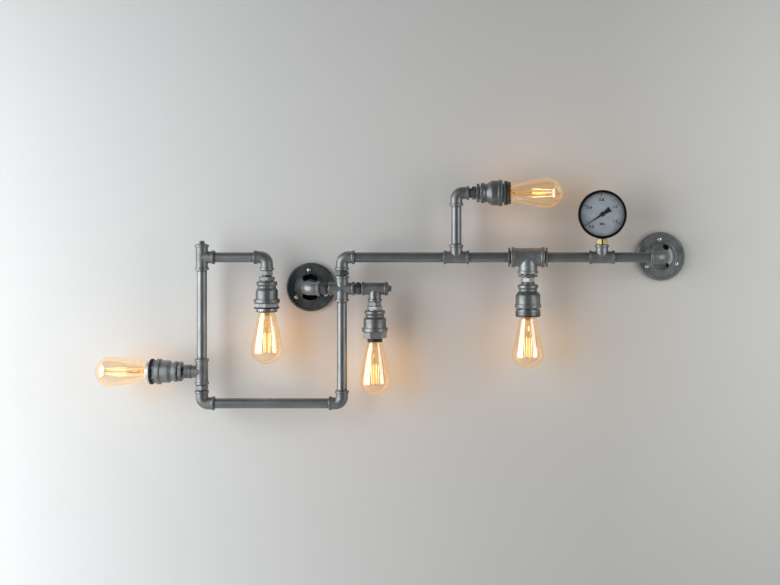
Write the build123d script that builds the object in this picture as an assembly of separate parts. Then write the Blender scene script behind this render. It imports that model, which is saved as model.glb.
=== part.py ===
from build123d import *
import math
import os
from dataclasses import dataclass

# Industrial wall light built from half-inch screwed pipe and malleable fittings.
# Two round flanges carry it on the wall. A square loop of pipe hangs from the left flange, a long
# main pipe runs to the right one, and five lamp holders and a dial pressure gauge sit on the pipework.
# All sizes are in millimetres. X runs to the right along the wall, Y points into the wall and Z is up.
# The origin is the centre of the left flange's back face. Every pipe lies in one plane before the wall.

LEFT, RIGHT, BACK, FRONT = (-1, 0, 0), (1, 0, 0), (0, 1, 0), (0, -1, 0)
UP, DOWN = (0, 0, 1), (0, 0, -1)

# ---- Layout: distances between pipe axes ----
cross_offset = 75.0  # left flange to the junction cross
main_height = 66.0  # main pipe above the left flange
loop_width = 295.5
loop_height = 308.0
loop_outlet_reach = 137.0  # left loop pipe to the first lamp
side_lamp_height = 67.0  # second lamp above the loop's bottom pipe
side_tee_offset = 69.5  # cross to the third lamp
arm_offset = 241.5  # cross to the upper arm
arm_height = 135.7  # upper arm above the main pipe
pendant_offset = 392.5  # cross to the fifth lamp
gauge_offset = 548.5  # cross to the gauge
right_flange_offset = 679.0  # cross to the right flange

# ---- Half-inch pipe, its screwed ends and its nipples ----
pipe_od = 21.3
pipe_wall = 2.6
pipe_bore = pipe_od - 2 * pipe_wall
thread_relief = 0.45  # crests of the thread below the pipe's surface
thread_od = pipe_od - 2 * thread_relief
thread_fit = 0.05  # radial clearance of a screwed joint
engagement = 13.0  # length screwed into a fitting
thread_runout = 3.0  # thread left showing beside a fitting
nipple_hex = thread_od + 4.6  # across flats
nipple_hex_width = 8.6
hex_crown = 0.9  # chamfer that rounds the corners of a hexagon

# ---- Wall flanges ----
flange_od = 104.0
flange_height = 24.0
flange_rim = 11.0  # rim thickness off the wall
flange_face = 9.2  # recessed face inside the rim
flange_rim_width = 5.5
flange_wall = 4.2
flange_dome_od = 63.0
flange_hub_od = 30.0
flange_slot_width = 11.5
flange_slot_radius = flange_hub_od / 2 + 1.85 + flange_slot_width / 2
flange_slot_angle = 60.0  # between the centres of a slot's round ends
screw_circle = flange_dome_od + 11.0
screw_hole = 5.5
screw_boss = 13.0
screw_count = 3
first_screw_angle = 95.0
flange_nipple_gap = 11.0  # between the hub and the elbow

# ---- Lamp holders ----
tee_bushing_hex = 36.0
tee_bushing_width = 6.5
bushing_groove = 2.4  # undercut behind a bushing's hexagon
bushing_groove_od = 27.0
reducer_bead_od = 43.4
reducer_bead_width = 8.2
reducer_neck_od = 38.4
reducer_neck_end = 13.0
reducer_mouth_od = 54.0
reducer_mouth_width = 9.0
reducer_small_thread = 33.2
reducer_large_thread = 39.6
reducer_small_depth = 17.0
reducer_large_depth = 21.0  # takes the back of a socket insert
reducer_ribs = 4
rib_width = 2.6
rib_height = 1.1
collar_engagement = 13.0
cap_od = 26.4  # screw cap of the bulb that the socket takes
cap_play = 0.5  # radial clearance of the cap in the socket shell
shell_wall = 0.4
shell_start = 3.0  # socket shell below the insert's front
insert_wall = 1.7
insert_od = cap_od + 2 * (cap_play + shell_wall + insert_wall)
insert_depth = 29.0
insert_floor = 5.0
insert_recess = 3.5  # insert front below the face of a lock ring
lock_ring_opening = insert_od + 5.4
lock_ring_slots = 30
lock_slot_width = 2.0
lock_slot_height = 4.2
lock_slot_depth = 2.4

# ---- Bulbs ----
bulb_length = 141.5
bulb_od = 65.0
bulb_belly = 27.5  # widest place above the tip
glass_length = 115.0
glass_wall = 0.8
glass_shoulder_od = cap_od + 4.6  # end of the cone, where the glass turns in to the cap
glass_shoulder_height = 2.8
cap_wall = 0.5
cap_length = 21.0
cap_lap = 0.5  # cap rim over the end of the glass cone
cap_seat = 0.5  # cap rim below the insert's front
cap_end_od = 18.6  # where the cap meets its insulator
cement_gap = 0.3  # between the cap and the neck of the glass
glass_in_cap = 4.0
insulator_length = 3.6
tip_contact_od = 9.2
tip_contact_height = 1.5
stem_od = 8.5
stem_flare_height = 107.0
press_top, press_end = 93.0, 70.0  # pressed block of the stem, above the bulb's tip
press_size = (12.6, 7.4)
mount_rod_od = 3.0
filament_top = 66.0
filament_count = 4
filament_od = 2.0
filament_length = 42.0
filament_upper_circle = 18.0
filament_lower_circle = 14.0
filament_wire = 0.9

# ---- Pressure gauge ----
gauge_gap = 12.7  # between the bezel and the tee that carries the gauge
bezel_od = 102.0
bezel_opening = bezel_od - 11.0
bezel_depth = 11.0
bezel_wall = 1.5
case_od = bezel_od - 4.0
case_wall = 1.6
case_back = 14.0  # case behind the pipe plane
case_front = 19.0  # case before the pipe plane
window_thickness = 2.0
dial_thickness = 0.8
dial_setback = 7.0  # dial behind the window
dial_ledge = 2.4  # ledge of the case that carries the dial
zero_angle = 213.7  # pointer at rest, seen from the front
pointer_reach = bezel_opening / 2 - 4.0
pointer_tail = 17.0
pointer_width = 3.6
pointer_tail_width = 9.6
pointer_thickness = 0.8
pointer_hub_od = 9.0
arbor_od = 1.6
stem_hex = 22.8
stem_hex_width = 11.4
stem_neck_od = 15.0
stem_block = (19.0, 13.0, 15.0)
movement_plate = 1.4
movement_width = 21.0
movement_top = 9.0  # top of the plates above the gauge's centre
pillar_od = 3.6
pivot_fit = 0.1  # radial clearance of an arbor in a plate
gear_module = 0.4
pinion_teeth = 10
sector_teeth = 80  # of the full circle that the sector is cut from
sector_cut = 13  # teeth on the sector
gear_width = 1.4
gear_distance = gear_module * (pinion_teeth + sector_teeth) / 2
gear_backlash = 0.26
sector_hub_od = 5.6
sector_tail = 10.0
pivot_od = 2.4
arbor_end = 0.4  # arbors end below the plates' outer faces
block_height = case_wall + 1.0 + stem_block[2] - case_od / 2  # its top from the gauge's centre
bourdon_radius = case_od / 2 - 10.5
bourdon_section = (9.0, 3.4)
bourdon_start, bourdon_end = 262.0, -28.0  # degrees from the gauge's right


@dataclass
class Casting:
    """Outline of one size of screwed fitting, measured along each outlet from its centre."""

    reach: float  # centre to the face of an outlet
    body_od: float
    bead_od: float
    bead_width: float
    bend: float  # bend radius of an elbow's axis
    thread: float
    depth: float  # depth of the threaded socket
    core: float  # bore of the waterway


def casting_for(thread, wall, bead_rise, bead_width, depth, core, reach=None):
    """Casting whose body, bead and reach follow the thread that it takes."""
    body_od = thread + 2 * wall
    bead_od, bend = body_od + 2 * bead_rise, body_od / 2 + 0.6
    reach = reach or bend + depth + 0.1  # an elbow's threads end where its bend starts
    return Casting(reach, body_od, bead_od, bead_width, bend, thread, depth, core)


thread_depth = engagement + 0.5
half_inch = casting_for(thread_od, 2.6, 1.8, 5.6, thread_depth, pipe_bore + 0.9)
flange_half_inch = casting_for(thread_od, 3.6, 1.6, 5.6, thread_depth, pipe_bore + 0.9)
one_inch = casting_for(reducer_small_thread, 2.9, 2.2, 7.2, 17.0, 27.0, 35.0)
gauge_height = half_inch.reach + gauge_gap + bezel_od / 2  # gauge centre above the main pipe


@dataclass
class Holder:
    """One lamp holder, from the fitting that carries it to the collar in its mouth."""

    fitting: tuple  # centre of the fitting
    way: tuple  # direction of the lamp
    reach: float  # centre of the fitting to its outlet face
    gap: float  # length of nipple between the fitting and the bushing
    nipple_shift: float  # nipple hexagon beyond the middle of the gap
    bushing: tuple  # across flats and width
    body: tuple  # diameter, length and height of the reducer's shoulder
    collar: tuple  # kind, diameter or across flats, and width


# ---- General shapes ----
def post(diameter, height, bottom=0):
    """Round bar about Z that stands on a height."""
    return Pos(0, 0, bottom) * Cylinder(diameter / 2, height, align=(Align.CENTER, Align.CENTER, Align.MIN))


def frame(origin, x_dir, z_dir):
    """Placement of a shape whose own X and Z turn to the given directions."""
    return Plane(origin=origin, x_dir=x_dir, z_dir=z_dir).location


def placed(shape, origin, z_dir, spin=0):
    """Puts a shape made along +Z on an axis, turned about that axis by spin degrees."""
    return Plane(origin=origin, z_dir=z_dir).location * Rotation(0, 0, spin) * shape


def turned(*profile):
    """Solid of revolution about Z from (radius, height) corners."""
    return revolve(Plane.XZ * make_face(Polyline(*profile, close=True)), Axis.Z)


def tube(outer, inner, bottom, top):
    """Plain ring or tube, given by its two diameters."""
    return turned(
        (inner / 2, bottom), (outer / 2, bottom), (outer / 2, top), (inner / 2, top)
    )


def hexagon(across_flats, bottom, top):
    """Hexagonal bar whose end corners are turned off."""
    bar = extrude(Plane.XY.offset(bottom) * RegularPolygon(across_flats / 2, 6, False), top - bottom)
    corner = across_flats / math.sqrt(3)
    blank = turned(
        (0, bottom),
        (corner - hex_crown, bottom),
        (corner, bottom + hex_crown),
        (corner, top - hex_crown),
        (corner - hex_crown, top),
        (0, top),
    )
    return bar & blank


def point(origin, direction, distance):
    """Point at a distance from the origin along a direction."""
    return tuple(o + d * distance for o, d in zip(origin, direction))


# ---- Screwed fittings ----
def outlet(casting, start):
    """One arm of a casting along +Z, with the rounded bead that strengthens its mouth."""
    body, bead = casting.body_od / 2, casting.bead_od / 2
    foot = casting.reach - casting.bead_width
    profile = make_face(
        Polyline(
            (0, start),
            (body, start),
            (body, foot),
            (bead, foot),
            (bead, casting.reach),
            (0, casting.reach),
            close=True,
        )
    )
    round_edge = 0.22 * casting.bead_width
    corners = profile.vertices().filter_by(lambda v: abs(v.X - bead) < 1e-6)
    return revolve(Plane.XZ * fillet(corners, round_edge), Axis.Z)


def waterway(casting, start):
    """Threaded socket and core bore of one arm along +Z."""
    socket = casting.thread / 2 + thread_fit
    core = casting.core / 2
    reach, floor = casting.reach, casting.reach - casting.depth
    return turned((0, start), (core, start), (core, floor), (socket, floor), (socket, reach), (0, reach))


def straight_fitting(casting, directions):
    """Tee or cross in its own frame, with one arm along each direction."""
    solid = Part() + [placed(outlet(casting, 0), (0, 0, 0), d) for d in directions]
    return solid - [placed(waterway(casting, 0), (0, 0, 0), d) for d in directions]


def elbow(casting):
    """Right-angle elbow in its own frame, with its arms along +X and +Z."""
    bend = casting.bend
    turn = Axis((bend, 0, bend), (0, 1, 0))
    entry = Plane(origin=(bend, 0, 0), x_dir=(0, 1, 0), z_dir=(1, 0, 0))
    solid = revolve(entry * Circle(casting.body_od / 2), turn, 90)
    bore = revolve(entry * Circle(casting.core / 2), turn, 90)
    for direction in (RIGHT, UP):
        solid += placed(outlet(casting, bend), (0, 0, 0), direction)
        bore += placed(waterway(casting, bend), (0, 0, 0), direction)
    return solid - bore


def tee_at(casting, centre, run, branch):
    tee = straight_fitting(casting, (LEFT, RIGHT, UP))
    return frame(centre, run, branch) * tee


def elbow_at(casting, centre, first, second):
    return frame(centre, first, second) * elbow(casting)


# ---- Pipes and nipples ----
def pipe_between(start, end):
    """Pipe screwed into fittings whose faces are at start and end."""
    run = Vector(*end) - Vector(*start)
    low, high = -engagement, run.length + engagement
    body, thread, bore = pipe_od / 2, thread_od / 2, pipe_bore / 2
    lead = 0.8  # chamfer on the screwed ends
    profile = (
        (bore, low),
        (thread - lead, low),
        (thread, low + lead),
        (thread, thread_runout),
        (body, thread_runout + thread_relief),
        (body, run.length - thread_runout - thread_relief),
        (thread, run.length - thread_runout),
        (thread, high - lead),
        (thread - lead, high),
        (bore, high),
    )
    return placed(turned(*profile), start, tuple(run.normalized()))


def screwed_tube(low, high):
    """Half-inch threaded tube along +Z, the core of a nipple."""
    return tube(thread_od, pipe_bore, low, high)


def nipple_between(start, direction, gap, shift=0, spin=0):
    """Hexagon nipple that joins a face at start to one a gap away, its hexagon off the middle by shift."""
    middle = gap / 2 + shift
    half_width = min(nipple_hex_width, gap - 1.5) / 2
    body = hexagon(nipple_hex, middle - half_width, middle + half_width)
    body -= Cylinder(thread_od / 2 - 1, 4 * gap)
    body += screwed_tube(-engagement, gap + engagement)
    return placed(body, start, direction, spin)


def square_plug():
    """Square-headed plug along +Z, its collar just proud of the fitting's face."""
    collar, head, height = 1.6, 10.0, 6.2
    body = turned(
        (0, -engagement),
        (thread_od / 2 - 1, -engagement),
        (thread_od / 2, 1 - engagement),
        (thread_od / 2, collar - 0.8),
        (thread_od / 2 - 0.8, collar),
        (0, collar),
    )
    square = extrude(Plane.XY.offset(collar) * RectangleRounded(head, head, 1.0), height)
    return body + chamfer(square.faces().sort_by(Axis.Z)[-1].edges(), 0.8)


# ---- Wall flange ----
def wall_flange():
    """Cast round flange along +Z from the wall, hollow behind, with a domed hub and two kidney slots."""
    outer, rim_inner = flange_od / 2, flange_od / 2 - flange_rim_width
    dome, hub = flange_dome_od / 2, flange_hub_od / 2
    shoulder = flange_height - 5.0
    bead = 1.6  # height and width of the ring at the dome's foot
    skin = make_face(
        Polyline(
            (0, 0),
            (outer, 0),
            (outer, flange_rim - 2.4),
            (outer - 2.4, flange_rim),
            (rim_inner, flange_rim),
            (rim_inner - 1.2, flange_face),
            (dome + bead, flange_face),
            (dome + bead / 2, flange_face + bead),
            (dome - bead / 2, flange_face + bead),
        )
        + ThreePointArc(
            (dome - bead / 2, flange_face + bead),
            ((dome + hub) / 2 + 1.5, (flange_face + shoulder) / 2 + 2.6),
            (hub, shoulder),
        )
        + Polyline((hub, shoulder), (hub, flange_height - 1), (hub - 1, flange_height), (0, flange_height))
        + Line((0, flange_height), (0, 0))
    )
    solid = revolve(Plane.XZ * skin, Axis.Z)
    roof = flange_face - flange_wall
    solid -= turned(
        (0, 0),
        (rim_inner, 0),
        (rim_inner, roof),
        (dome - 1, roof),
        (hub + 1, shoulder - flange_wall - 1.5),
        (hub - 3, shoulder - flange_wall - 1.5),
        (hub - 3, 0),
    )
    screw_places = PolarLocations(screw_circle / 2, screw_count, first_screw_angle)
    solid += screw_places * post(screw_boss, roof + 1)
    slot_path = CenterArc((0, 0), flange_slot_radius, 90 - flange_slot_angle / 2, flange_slot_angle)
    slot = extrude(SlotArc(slot_path, flange_slot_width), flange_height)
    solid -= [slot, Rotation(0, 0, 180) * slot]
    solid -= Cylinder(thread_od / 2 + thread_fit, 3 * flange_height)
    return solid - screw_places * Cylinder(screw_hole / 2, 3 * flange_height)


# ---- Lamp holders ----
def reducer(body_od, length, shoulder):
    """Cast reducing socket along +Z, small end at zero, with four ribs below its shoulder."""
    small, neck = reducer_bead_od / 2, reducer_neck_od / 2
    body, mouth = body_od / 2, max(reducer_mouth_od, body_od + 3.4) / 2
    mouth_start = length - reducer_mouth_width
    soft = 1.8  # radius of the beads' edges
    outline = make_face(
        Polyline(
            (0, 0),
            (small - soft, 0),
            (small, soft),
            (small, reducer_bead_width - soft),
            (neck, reducer_bead_width + soft),
            (neck, reducer_neck_end),
        )
        + Spline((neck, reducer_neck_end), (body, shoulder), tangents=((0.35, 1), (0.1, 1)))
        + Polyline(
            (body, shoulder),
            (body, mouth_start),
            (mouth - 0.6, mouth_start),
            (mouth, mouth_start + 0.8),
            (mouth, length - soft),
            (mouth - soft, length),
            (0, length),
            (0, 0),
        )
    )
    solid = revolve(Plane.XZ * outline, Axis.Z)
    rib_length = mouth_start - shoulder
    rib = Pos(body - 1, 0, shoulder + rib_length / 2) * Box(2 + 2 * rib_height, rib_width, rib_length)
    solid += [Rotation(0, 0, 45 + i * 360 / reducer_ribs) * rib for i in range(reducer_ribs)]
    small_bore = reducer_small_thread / 2 + thread_fit
    large_bore = reducer_large_thread / 2 + thread_fit
    return solid - turned(
        (0, 0),
        (small_bore, 0),
        (small_bore, length - reducer_large_depth),
        (large_bore, length - reducer_large_depth),
        (large_bore, length),
        (0, length),
    )


def hex_bushing(across_flats, width):
    """Reducing bushing along +Z: its hexagon, a groove that ends at width, then its outer thread."""
    bore = thread_od / 2 + thread_fit
    body = hexagon(across_flats, 0, width - bushing_groove)
    body += post(max(bushing_groove_od, 2 * bore + 4), width)
    body += tube(reducer_small_thread, 2 * bore - 1, width, width + engagement)
    return body - Cylinder(bore, 4 * (width + engagement))


def collar(kind, od, width):
    """Bushing with a lamp socket, along +Z: its face at width and its thread below zero."""
    if kind == "hex":
        head = hexagon(od, 0, width)
    elif kind == "stepped":
        step = 2.4
        head = tube(reducer_large_thread, insert_od, 0, step) + tube(od, insert_od, step, width)
    else:
        head = turned((0, 0), (od / 2, 0), (od / 2, width - 0.8), (od / 2 - 0.8, width), (0, width))
    body = head + tube(reducer_large_thread, insert_od - 2, -collar_engagement, 0.01)
    return body - Cylinder(insert_od / 2 + thread_fit, 6 * (width + collar_engagement))


def lock_ring(od, length):
    """Castellated ring along +Z that clamps the socket insert, its open face at length."""
    bore = insert_od / 2 + thread_fit
    ring = turned(
        (bore, 0),
        (od / 2, 0),
        (od / 2, length - 1.6),
        (od / 2 - 1.6, length),
        (lock_ring_opening / 2, length),
        (lock_ring_opening / 2, length - insert_recess),
        (bore, length - insert_recess),
    )
    cut = Pos(od / 2, 0, length - lock_slot_height) * Box(
        2 * lock_slot_depth, lock_slot_width, 2 * length, align=(Align.CENTER, Align.CENTER, Align.MIN)
    )
    return ring - [Rotation(0, 0, i * 360 / lock_ring_slots) * cut for i in range(lock_ring_slots)]


def socket_insert():
    """Insulating cup of a screw lamp socket, its front at zero and its floor below."""
    outer, inner = insert_od / 2, insert_od / 2 - insert_wall
    cup = turned(
        (0, -insert_depth - insert_floor),
        (outer, -insert_depth - insert_floor),
        (outer, 0),
        (inner, 0),
        (inner, -insert_depth),
        (0, -insert_depth),
    )
    wire_holes = [Pos(x, 0, -insert_depth) * Cylinder(1.6, 4 * insert_floor) for x in (-9, 9)]
    return cup - wire_holes


def socket_shell():
    """Screw shell and centre contact of a lamp socket, two separate pieces."""
    outer = insert_od - 2 * insert_wall
    shell = tube(outer, outer - 2 * shell_wall, -insert_depth, -shell_start)
    rise = insert_depth - cap_seat - (bulb_length - rim_height)
    return [shell, post(tip_contact_od - 1.2, rise, -insert_depth)]


# ---- Bulbs, each along +Z from its glass tip to its centre contact ----
rim_height = glass_length - cap_lap
neck_radius = cap_od / 2 - cap_wall - cement_gap
neck_end = glass_length + glass_in_cap


def bulb_outline(inset):
    """Curves of the glass from its tip to the end of its neck, moved inwards by inset."""
    belly, bend = bulb_od / 2 - inset, glass_shoulder_od / 2 - inset
    tip, widest = (0, inset), (belly, bulb_belly)
    shoulder, throat = (bend, rim_height - glass_shoulder_height), (neck_radius - inset, rim_height)
    cone_slope = (-0.28, 1)
    rise = shoulder[1] - bulb_belly
    dome = Bezier(tip, (0.44 * belly, 0.5 + inset), (belly, 0.58 * bulb_belly + 0.5 * inset), widest)
    cone = Spline(
        widest,
        (bend + 0.69 * (belly - bend), bulb_belly + 0.44 * rise),
        (bend + 0.285 * (belly - bend), bulb_belly + 0.81 * rise),
        shoulder,
        tangents=((0, 1), cone_slope),
    )
    turn_in = Spline(shoulder, throat, tangents=(cone_slope, (0, 1)))
    return dome + cone + turn_in + Line(throat, (neck_radius - inset, neck_end))


def bulb_glass():
    """Blown envelope, one thin wall, whose neck goes into the cap."""
    rim = Line((neck_radius, neck_end), (neck_radius - glass_wall, neck_end))
    wall = make_face(bulb_outline(0) + rim + bulb_outline(glass_wall) + Line((0, 0), (0, glass_wall)))
    return revolve(Plane.XZ * wall, Axis.Z)


def bulb_cap():
    """Screw cap of the bulb, a thin brass cup whose end narrows to the insulator."""
    outer, inner = cap_od / 2, cap_od / 2 - cap_wall
    shoulder = rim_height + cap_length
    end = bulb_length - insulator_length - tip_contact_height
    return turned(
        (inner, rim_height),
        (outer, rim_height),
        (outer, shoulder),
        (cap_end_od / 2, end),
        (cap_end_od / 2 - cap_wall, end),
        (inner, shoulder - cap_wall / 2),
    )


def bulb_contact():
    """Glass insulator and solder contact at the end of the cap, two separate pieces."""
    start = bulb_length - insulator_length - tip_contact_height
    end = bulb_length - tip_contact_height
    insulator = turned((0, start), (cap_end_od / 2 - 0.1, start), (tip_contact_od / 2 + 1.6, end), (0, end))
    return [insulator, post(tip_contact_od, tip_contact_height, end)]


def rod(start, end, diameter):
    """Round rod between two points."""
    run = Vector(*end) - Vector(*start)
    return placed(post(diameter, run.length), start, tuple(run.normalized()))


def bulb_mount():
    """Glass stem with its pressed block and rod, and the wires and long filaments that it carries."""
    stem_foot = neck_end - 1
    mount = turned(
        (0, press_top),
        (stem_od / 2, press_top),
        (stem_od / 2, stem_flare_height - 8),
        (0.6 * cap_od / 2, stem_flare_height + 1),
        (neck_radius - glass_wall - 0.1, stem_foot),
        (0, stem_foot),
    )
    press_height = press_top - press_end
    block = Pos(0, 0, press_end) * Box(
        *press_size, press_height, align=(Align.CENTER, Align.CENTER, Align.MIN)
    )
    mount += fillet(block.edges(), 1.6)
    lower_height = filament_top - filament_length
    mount += rod((0, 0, lower_height - 1.5), (0, 0, press_end + 1), mount_rod_od)
    for i in range(filament_count):
        turn = math.radians(360 / filament_count * i + 20)
        outward = (math.cos(turn), math.sin(turn), 0)
        upper = point((0, 0, filament_top), outward, filament_upper_circle / 2)
        lower = point((0, 0, lower_height), outward, filament_lower_circle / 2)
        mount += rod(lower, upper, filament_od)
        mount += rod((0, 0, press_end + 1), point(upper, DOWN, 0.4), filament_wire)
        mount += rod((0, 0, lower_height - 0.6), point(lower, UP, 0.3), filament_wire)
    return mount


# ---- Pressure gauge, each piece along +Z towards the viewer, zero in the pipe plane ----
def gauge_case():
    """Pressed steel cup, open to the front, with a hole for the stem below."""
    ledge = case_front - dial_setback - dial_thickness
    cup = turned(
        (0, -case_back),
        (case_od / 2 - 4, -case_back),
        (case_od / 2, 4 - case_back),
        (case_od / 2, case_front),
        (case_od / 2 - case_wall, case_front),
        (case_od / 2 - case_wall, ledge),
        (case_od / 2 - case_wall - dial_ledge, ledge),
        (case_od / 2 - case_wall, ledge - dial_ledge),
        (case_od / 2 - case_wall, 4 + case_wall - case_back),
        (case_od / 2 - 4, case_wall - case_back),
        (0, case_wall - case_back),
    )
    return cup - rod((0, -case_od, 0), (0, 0, 0), stem_neck_od + 0.6)


def gauge_bezel():
    """Rolled ring over the rim of the case that holds the window."""
    outer, opening = bezel_od / 2, bezel_opening / 2
    front = case_front + window_thickness + bezel_wall
    back = front - bezel_depth
    inside = case_od / 2 + 0.1
    return turned(
        (inside, back),
        (outer - 0.6, back),
        (outer, back + 0.6),
        (outer, front - 2.2),
        (outer - 2.2, front),
        (opening + 0.8, front),
        (opening, front - 0.6),
        (opening, front - bezel_wall),
        (inside, front - bezel_wall),
    )


def gauge_window():
    return post(case_od, window_thickness, case_front)


def gauge_dial():
    """Round dial plate that rests on the ledge of the case."""
    top = case_front - dial_setback
    return tube(case_od - 2 * case_wall - 0.2, arbor_od + 1.6, top - dial_thickness, top)


def gear(teeth, cut, width):
    """Spur gear about Z, centred on the pipe plane, with its teeth at the numbers cut, counted from +X."""
    pitch = gear_module * teeth / 2
    root, tip = pitch - 1.25 * gear_module, pitch + 0.7 * gear_module
    half = (math.pi * gear_module - gear_backlash) / 4
    slope = math.tan(math.radians(20))
    foot, crest = half + slope * 1.25 * gear_module, half - slope * 0.7 * gear_module
    flank = ((root - 0.2, foot), (root, foot), (tip, crest))
    outline = [(x, -y) for x, y in flank] + list(reversed(flank))
    tooth = extrude(Plane.XY.offset(-width / 2) * make_face(Polyline(*outline, close=True)), width)
    return Cylinder(root, width) + [Rotation(0, 0, i * 360 / teeth) * tooth for i in cut]


def wedge(radius, low, high):
    """Triangle with one corner on the axis, between two angles in degrees."""
    angles = (math.radians(low), math.radians(high))
    corners = [(radius * math.cos(a), radius * math.sin(a)) for a in angles]
    return make_face(Polyline((0, 0), *corners, close=True))


def sector_gear():
    """Toothed sector with its hub, tail and arbor, meshed with the pinion below the gauge's centre."""
    pitch, step = gear_module * sector_teeth / 2, 360 / sector_teeth
    cut = [1.5 - i for i in range(sector_cut)]
    low, high = (cut[-1] - 0.7) * step, (cut[0] + 0.7) * step
    middle = (low + high) / 2
    cutter = Plane.XY.offset(-gear_width)
    blade = gear(sector_teeth, cut, gear_width)
    blade &= extrude(cutter * wedge(2 * pitch, low, high), 2 * gear_width)
    window = wedge(pitch - 3.5, low + 10, high - 10) - Circle(6)
    blade -= extrude(cutter * window, 2 * gear_width)
    blade += Cylinder(sector_hub_od / 2, 2 * gear_width)
    tail = Rotation(0, 0, middle + 180) * Pos(sector_tail / 2, 0, 0) * Box(sector_tail, 3.2, gear_width)
    shaft = stem_block[1] + 2 * movement_plate - 2 * arbor_end
    return Rotation(0, 0, 90) * (blade + tail + Cylinder(pivot_od / 2, shaft))


def gauge_pointer():
    """Pointer blade, hub and arbor, pointing along the zero mark."""
    level = case_front - dial_setback + 1.6
    blade = make_face(
        Polyline(
            (pointer_reach, 0.35),
            (0, pointer_width / 2),
            (-pointer_hub_od / 2, pointer_width / 2.5),
            (-pointer_tail, pointer_tail_width / 2),
            (-pointer_tail, -pointer_tail_width / 2),
            (-pointer_hub_od / 2, -pointer_width / 2.5),
            (0, -pointer_width / 2),
            (pointer_reach, -0.35),
            close=True,
        )
    )
    pointer = extrude(Plane.XY.offset(level) * blade, pointer_thickness)
    pointer += turned(
        (0, level - 0.6),
        (pointer_hub_od / 2, level - 0.6),
        (pointer_hub_od / 2, level + 1.6),
        (pointer_hub_od / 2 - 0.8, level + 2.4),
        (0, level + 2.4),
    )
    arbor_foot = arbor_end - stem_block[1] / 2 - movement_plate
    pointer += post(arbor_od, level - arbor_foot, arbor_foot)
    pinion = gear(pinion_teeth, range(pinion_teeth), 1.5 * gear_width)
    return Rotation(0, 0, zero_angle) * pointer + Rotation(0, 0, 90) * pinion


def gauge_movement():
    """Two plates on the stem's block with their pillars, and the curved pressure tube."""
    plate_foot = case_wall + 3 - case_od / 2
    height, level = movement_top - plate_foot, stem_block[1] / 2
    plate = extrude(RectangleRounded(movement_width, height, 3), movement_plate)
    plate = Pos(0, plate_foot + height / 2, 0) * plate
    plate -= Cylinder(arbor_od / 2 + pivot_fit, 6 * movement_plate)
    plate -= Pos(0, -gear_distance, 0) * Cylinder(pivot_od / 2 + pivot_fit, 6 * movement_plate)
    pillar_x = movement_width / 2 - pillar_od / 2 - 0.6
    pillar_y = movement_top - pillar_od / 2 - 0.8
    pillars = [Pos(x, pillar_y, 0) * Cylinder(pillar_od / 2, 2 * level) for x in (-pillar_x, pillar_x)]
    section = Plane.XZ * Pos(bourdon_radius, 0) * Ellipse(bourdon_section[1] / 2, bourdon_section[0] / 2)
    bourdon = Rotation(0, 0, bourdon_end) * revolve(section, Axis.Z, bourdon_start - bourdon_end)
    block = Box(stem_block[0], stem_block[2], stem_block[1])
    bourdon -= Pos(0, block_height - stem_block[2] / 2, 0) * block
    return [Pos(0, 0, level) * plate, Pos(0, 0, -level - movement_plate) * plate, *pillars, bourdon]


def gauge_stem(face, centre_height):
    """Brass stem along +Z from the tee's face: thread, wrench hexagon, neck and inner block."""
    gap = centre_height - face - case_od / 2
    block_foot = centre_height - face + block_height - stem_block[2]
    hex_start = 0.8
    thread_length = engagement + hex_start
    stem = post(thread_od, thread_length, -engagement)
    hex_width = min(stem_hex_width, gap - (bezel_od - case_od) / 2 - 2 * hex_start)
    stem += Rotation(0, 0, 30) * hexagon(stem_hex, hex_start, hex_start + hex_width)
    stem += post(stem_neck_od, block_foot + 1)
    stem += Pos(0, 0, block_foot) * Box(*stem_block, align=(Align.CENTER, Align.CENTER, Align.MIN))
    passage = 2 * engagement + block_foot + stem_block[2] / 2
    return stem - post(5, passage, -2 * engagement)


# ---- Layout points ----
standoff = flange_height + flange_nipple_gap + flange_half_inch.reach


def station(x, z):
    """Point of the pipe plane, by its place from the left flange."""
    return (x, -standoff, z)


loop_left_x = cross_offset - loop_width
loop_bottom_z = main_height - loop_height
cross = station(cross_offset, 0)
left_corner = station(0, 0)
riser_corner = station(cross_offset, main_height)
loop_top_left = station(loop_left_x, main_height)
loop_outlet = station(loop_left_x + loop_outlet_reach, main_height)
side_lamp = station(loop_left_x, loop_bottom_z + side_lamp_height)
loop_bottom_left = station(loop_left_x, loop_bottom_z)
loop_bottom_right = station(cross_offset, loop_bottom_z)
side_tee = station(cross_offset + side_tee_offset, 0)
arm_foot = station(cross_offset + arm_offset, main_height)
arm_top = station(cross_offset + arm_offset, main_height + arm_height)
pendant = station(cross_offset + pendant_offset, main_height)
gauge_foot = station(cross_offset + gauge_offset, main_height)
gauge_centre = station(cross_offset + gauge_offset, main_height + gauge_height)
right_corner = station(cross_offset + right_flange_offset, main_height)
right_flange_centre = (cross_offset + right_flange_offset, 0, main_height)

nodes = {}

# ---- Wall flanges with their elbows ----
for name, centre in (("left_wall_flange", (0, 0, 0)), ("right_wall_flange", right_flange_centre)):
    nodes[name] = frame(centre, RIGHT, FRONT) * wall_flange()
nodes["flange_elbows"] = [
    elbow_at(flange_half_inch, left_corner, RIGHT, BACK),
    elbow_at(flange_half_inch, right_corner, LEFT, BACK),
]

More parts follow.
